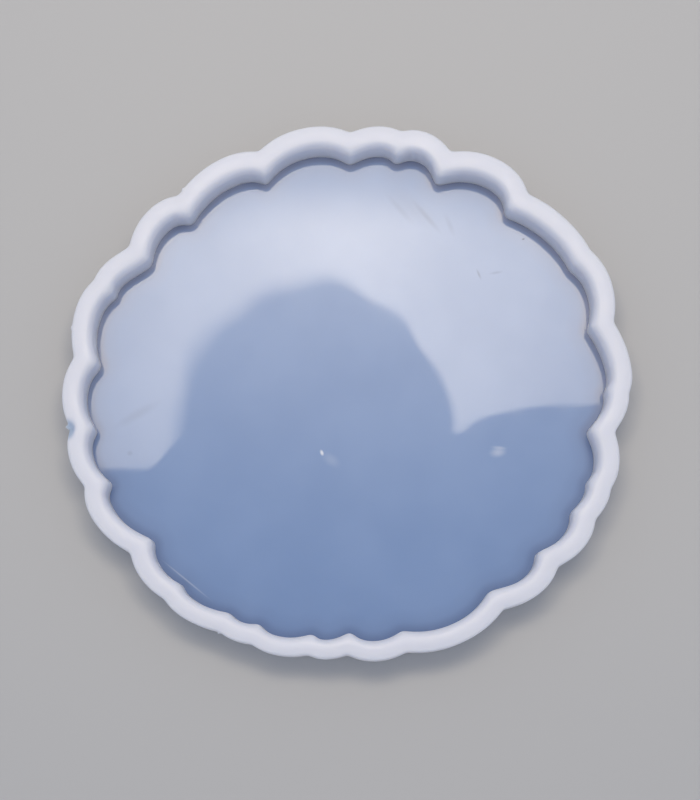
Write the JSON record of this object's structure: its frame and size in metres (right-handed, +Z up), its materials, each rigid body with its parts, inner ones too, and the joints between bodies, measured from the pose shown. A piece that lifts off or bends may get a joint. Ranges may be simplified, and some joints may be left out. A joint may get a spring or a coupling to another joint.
{
  "type": "resin casting mould",
  "caption": "Shallow open silicone mould with a scalloped rim wall and a mirror-smooth cavity floor, for casting a thin resin coaster.",
  "frame": {"origin": "centre of the footprint, on the surface that the mould stands on", "axes": "+Z up, out of the open cavity; +X along the longest width; +Y across it"},
  "size_m": [0.1098, 0.1042, 0.01],
  "materials": {
    "silicone_wall": "milky translucent silicone, satin",
    "silicone_floor": "thin milky silicone, mirror gloss"
  },
  "bodies": {
    "root": {"cavity_floor": "silicone_floor", "rim_wall": "silicone_wall"}
  },
  "joints": []
}
